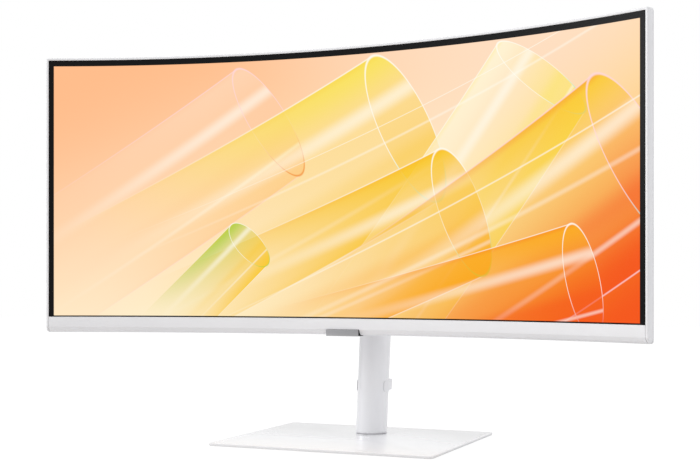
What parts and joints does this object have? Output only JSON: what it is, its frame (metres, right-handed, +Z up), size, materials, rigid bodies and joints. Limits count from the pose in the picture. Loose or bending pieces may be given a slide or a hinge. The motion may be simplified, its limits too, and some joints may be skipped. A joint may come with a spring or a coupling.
{
  "type": "computer monitor",
  "caption": "Wide curved desktop monitor with a thin white rim and chin, on a slim round leaning column that slides, tilts and swivels over a thin flat base plate.",
  "frame": {"origin": "centre of the object's footprint on the desk, which is the centre of the base plate, at the underside of its pads", "axes": "+Z up, the screen faces -Y, +X to the viewer's right"},
  "size_m": [0.8034, 0.248, 0.5066],
  "materials": {
    "white_plastic": "fine satin mould texture",
    "white_gloss": "smooth glossy white coat",
    "white_metal": "satin white powder coat",
    "panel_glass": "anti-glare matte front",
    "clear_acrylic": "clear, dotted back",
    "film_white": "white film",
    "steel": "zinc-plated sheet",
    "dark_steel": "dark e-coat",
    "badge_metal": "brushed grey",
    "black_plastic": "satin black",
    "circuit_board": "green solder mask",
    "rubber": "matte"
  },
  "bodies": {
    "base": {"base_plate": "white_gloss", "swivel_post": "steel", "swivel_nut": "dark_steel", "base_screw": "steel", "pad_front_left": "rubber", "pad_front_right": "rubber", "pad_back_left": "rubber", "pad_back_right": "rubber"},
    "column": {"column_front_shell": "white_metal", "column_rear_shell": "white_metal", "column_cap": "white_metal", "cable_clip": "white_plastic", "column_foot": "dark_steel", "foot_collar": "white_plastic", "thrust_washer": "dark_steel", "gas_spring_cylinder": "dark_steel"},
    "carriage": {"carriage_block": "steel", "glide_upper": "film_white", "glide_lower": "film_white", "gas_spring_rod": "steel", "tilt_arm": "white_metal"},
    "head": {"lcd_panel": "panel_glass", "optical_film_stack": "film_white", "light_guide_plate": "clear_acrylic", "reflector_sheet": "film_white", "led_bar": "film_white", "panel_chassis": "steel", "middle_frame": "white_plastic", "chin_bezel": "white_plastic", "rear_cover": "white_plastic", "board_bracket": "steel", "main_board": "circuit_board", "power_board": "circuit_board", "power_transformer": "black_plastic", "port_plate": "steel", "ac_inlet": "black_plastic", "hdmi_port": "steel", "display_port": "steel", "usb_a_port_1": "steel", "usb_a_port_2": "steel", "lan_port": "steel", "usb_c_port": "steel", "headphone_jack": "black_plastic", "speaker_left": "black_plastic", "speaker_right": "black_plastic", "badge_plate": "badge_metal", "control_housing": "black_plastic", "status_lens": "clear_acrylic", "jog_switch": "dark_steel", "vesa_plate": "steel", "mount_bracket": "dark_steel", "bracket_cover": "white_plastic", "tilt_shaft": "steel", "friction_washer_left": "dark_steel", "friction_washer_right": "dark_steel", "tilt_nut": "steel"},
    "release_button": {"release_button": "white_plastic"},
    "jog_gimbal": {"jog_gimbal": "dark_steel"},
    "jog_stick": {"jog_stick": "dark_steel"},
    "jog_cap": {"jog_cap": "black_plastic"}
  },
  "joints": [
    {"name": "swivel", "type": "hinge", "parent": "base", "child": "column", "pos_m": [0, 0.0558, 0.004], "axis": [0, 0, 1], "range_deg": [-30, 30]},
    {"name": "height", "type": "slide", "parent": "column", "child": "carriage", "axis": [0, 0.1074, 0.9942], "range_m": [-0.12, 0]},
    {"name": "tilt", "type": "hinge", "parent": "carriage", "child": "head", "pos_m": [0, 0.043, 0.3288], "axis": [-1, 0, 0], "range_deg": [-2, 25]},
    {"name": "release_press", "type": "slide", "parent": "head", "child": "release_button", "axis": [0, 0, 1], "range_m": [0, 0.0035], "stiffness_N_per_m": 400},
    {"name": "jog_side", "type": "hinge", "parent": "head", "child": "jog_gimbal", "pos_m": [0, -0.0328, 0.1479], "axis": [0, 1, 0], "range_deg": [-5, 5], "stiffness_Nm_per_rad": 0.05},
    {"name": "jog_fore_aft", "type": "hinge", "parent": "jog_gimbal", "child": "jog_stick", "pos_m": [0, -0.0328, 0.1479], "axis": [1, 0, 0], "range_deg": [-5, 5], "stiffness_Nm_per_rad": 0.05},
    {"name": "jog_press", "type": "slide", "parent": "jog_stick", "child": "jog_cap", "axis": [0, 0, 1], "range_m": [0, 0.0004], "stiffness_N_per_m": 1500}
  ]
}
